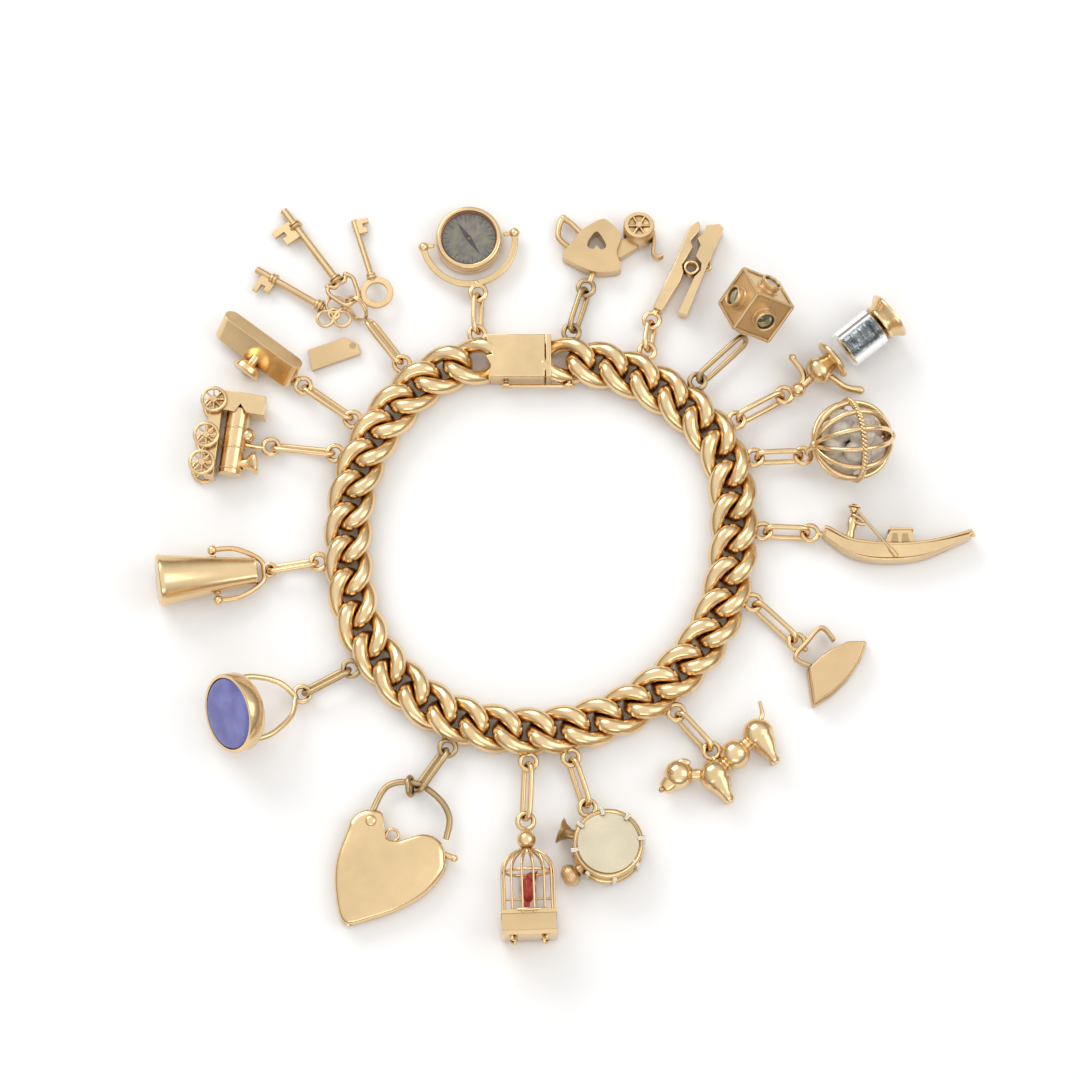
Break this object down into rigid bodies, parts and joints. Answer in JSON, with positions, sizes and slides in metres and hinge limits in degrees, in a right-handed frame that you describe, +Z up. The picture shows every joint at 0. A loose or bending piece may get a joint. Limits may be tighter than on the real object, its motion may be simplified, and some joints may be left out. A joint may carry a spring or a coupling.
{
  "type": "charm bracelet",
  "caption": "Gold curb-link bracelet with a box clasp and safety catch, laid flat in a ring with assorted novelty charms on jump rings around it.",
  "frame": {"origin": "on the surface it lies on, under the middle of its bounding box", "axes": "+Z up; the box clasp is at the +Y side of the ring, and the chain lies in the XY plane"},
  "size_m": [0.1288, 0.119, 0.0132],
  "materials": {
    "polished_gold": "polished",
    "satin_gold": "satin",
    "dull_gold": "satin",
    "glass": "polished",
    "pearl": "polished",
    "coral": "polished",
    "chalcedony": "polished",
    "dial": "satin"
  },
  "bodies": {
    "bracelet": {"chain_run_1": "polished_gold", "chain_run_2": "polished_gold", "chain_run_3": "polished_gold", "chain_run_4": "polished_gold", "chain_run_5": "polished_gold", "chain_run_6": "polished_gold", "chain_run_7": "polished_gold", "chain_run_8": "polished_gold", "clasp_box": "polished_gold", "clasp_tongue": "polished_gold", "link_keys": "polished_gold", "link_compass": "polished_gold", "link_pierced_plate": "polished_gold", "link_peg": "polished_gold", "link_cube": "polished_gold", "link_siphon": "polished_gold", "link_pearl_ball": "polished_gold", "link_gondola": "polished_gold", "link_iron": "polished_gold", "link_dog": "polished_gold", "link_drum": "polished_gold", "link_birdcage": "polished_gold", "link_padlock": "polished_gold", "link_seal": "polished_gold", "link_cone": "polished_gold", "link_locomotive": "polished_gold", "link_tablet": "polished_gold", "key_ring": "polished_gold", "key_large": "satin_gold", "key_left": "satin_gold", "key_small": "satin_gold", "key_tag": "satin_gold", "compass_yoke": "polished_gold", "heart_plate": "satin_gold", "peg_leg_left": "polished_gold", "cube": "satin_gold", "siphon_head": "polished_gold", "siphon_glass": "glass", "siphon_foot": "polished_gold", "pearl_cage": "polished_gold", "pearls": "pearl", "gondola": "polished_gold", "flat_iron": "satin_gold", "dog": "polished_gold", "drum": "polished_gold", "birdcage": "polished_gold", "bird": "coral", "padlock_shackle": "polished_gold", "padlock_ring": "polished_gold", "seal_mount": "polished_gold", "seal_stone": "chalcedony", "cone_bail": "polished_gold", "locomotive": "polished_gold", "tablet": "satin_gold"},
    "catch": {"safety_catch": "polished_gold"},
    "compass_bowl": {"compass_case": "polished_gold", "compass_dial": "dial"},
    "peg_leg": {"peg_leg_right": "polished_gold"},
    "cone": {"cone": "dull_gold"},
    "padlock_body": {"padlock_heart": "polished_gold"}
  },
  "joints": [
    {"name": "catch_hinge", "type": "hinge", "parent": "bracelet", "child": "catch", "pos_m": [0.00078, 0.02934, 0.00233], "axis": [0, 1, 0], "range_deg": [0, 120]},
    {"name": "compass_pivot", "type": "hinge", "parent": "bracelet", "child": "compass_bowl", "pos_m": [-0.01521, 0.05387, 0.00193], "axis": [-0.9863, -0.165, 0], "continuous": true},
    {"name": "peg_spring", "type": "hinge", "parent": "bracelet", "child": "peg_leg", "pos_m": [0.02048, 0.04909, 0.00163], "axis": [0, 0, 1], "range_deg": [-8, 0]},
    {"name": "cone_pivot", "type": "hinge", "parent": "bracelet", "child": "cone", "pos_m": [-0.05474, -0.00173, 0.00293], "axis": [0.1392, -0.9903, 0], "range_deg": [-60, 60]},
    {"name": "padlock_rivet", "type": "hinge", "parent": "bracelet", "child": "padlock_body", "pos_m": [-0.02992, -0.04071, 0.00203], "axis": [0, 0, 1], "range_deg": [-50, 0]}
  ]
}
